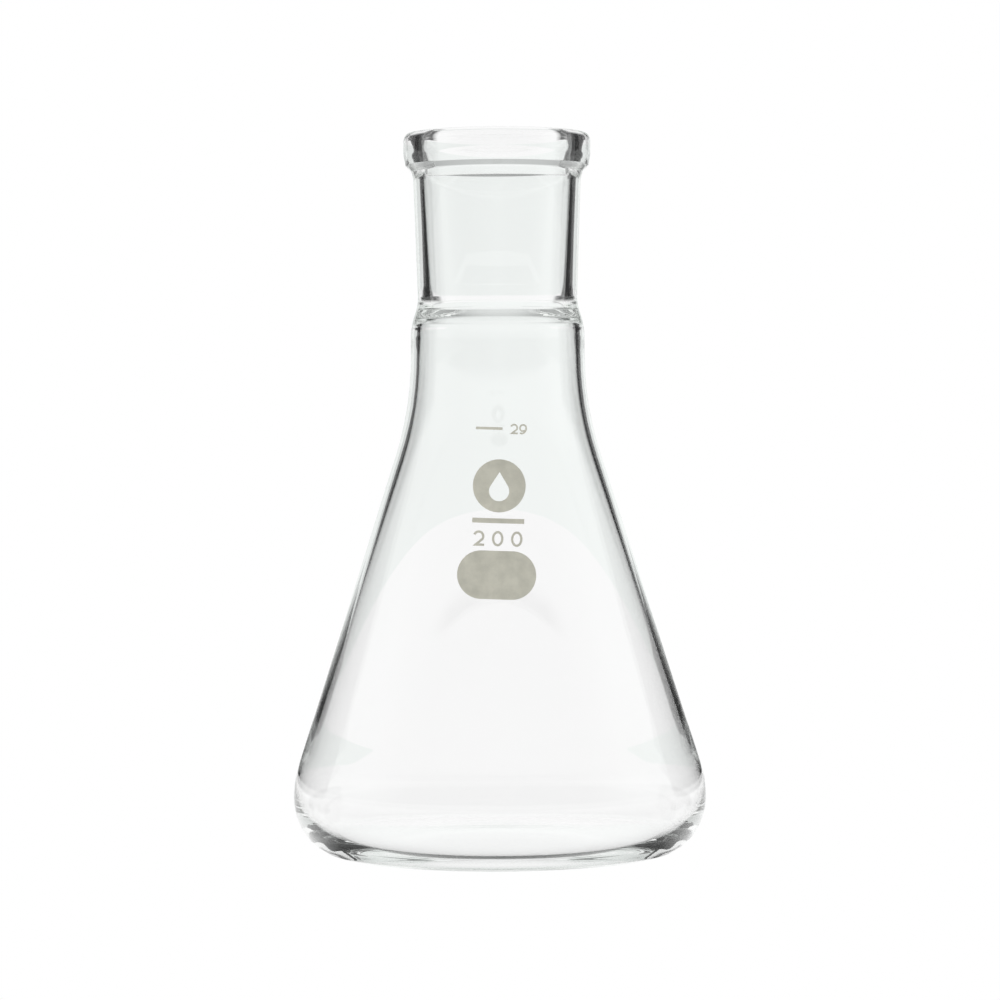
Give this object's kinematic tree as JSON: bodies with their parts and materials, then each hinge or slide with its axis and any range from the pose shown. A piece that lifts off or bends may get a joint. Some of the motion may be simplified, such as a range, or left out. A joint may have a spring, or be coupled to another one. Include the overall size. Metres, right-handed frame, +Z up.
{
  "type": "erlenmeyer flask",
  "caption": "Conical laboratory flask of clear blown glass with a straight neck, a collared tapered joint mouth and fired enamel marks, for mixing, heating and storing liquids.",
  "frame": {"origin": "centre of the foot, on the surface the flask stands on", "axes": "+Z up along the flask's axis towards the mouth; -Y is the front, where the enamel marks are"},
  "size_m": [0.0794, 0.0794, 0.1387],
  "materials": {
    "body_glass": "clear blown borosilicate, fire polished",
    "socket_glass": "clear borosilicate, polished inside taper",
    "enamel": "matt fired enamel, warm grey"
  },
  "bodies": {
    "root": {"flask_body": "body_glass", "joint_socket": "socket_glass", "joint_size_dash": "enamel", "joint_size_digit_2": "enamel", "joint_size_digit_9": "enamel", "round_emblem": "enamel", "plain_bar": "enamel", "capacity_digit_2": "enamel", "capacity_digit_0_left": "enamel", "capacity_digit_0_right": "enamel", "marking_patch": "enamel"}
  },
  "joints": []
}
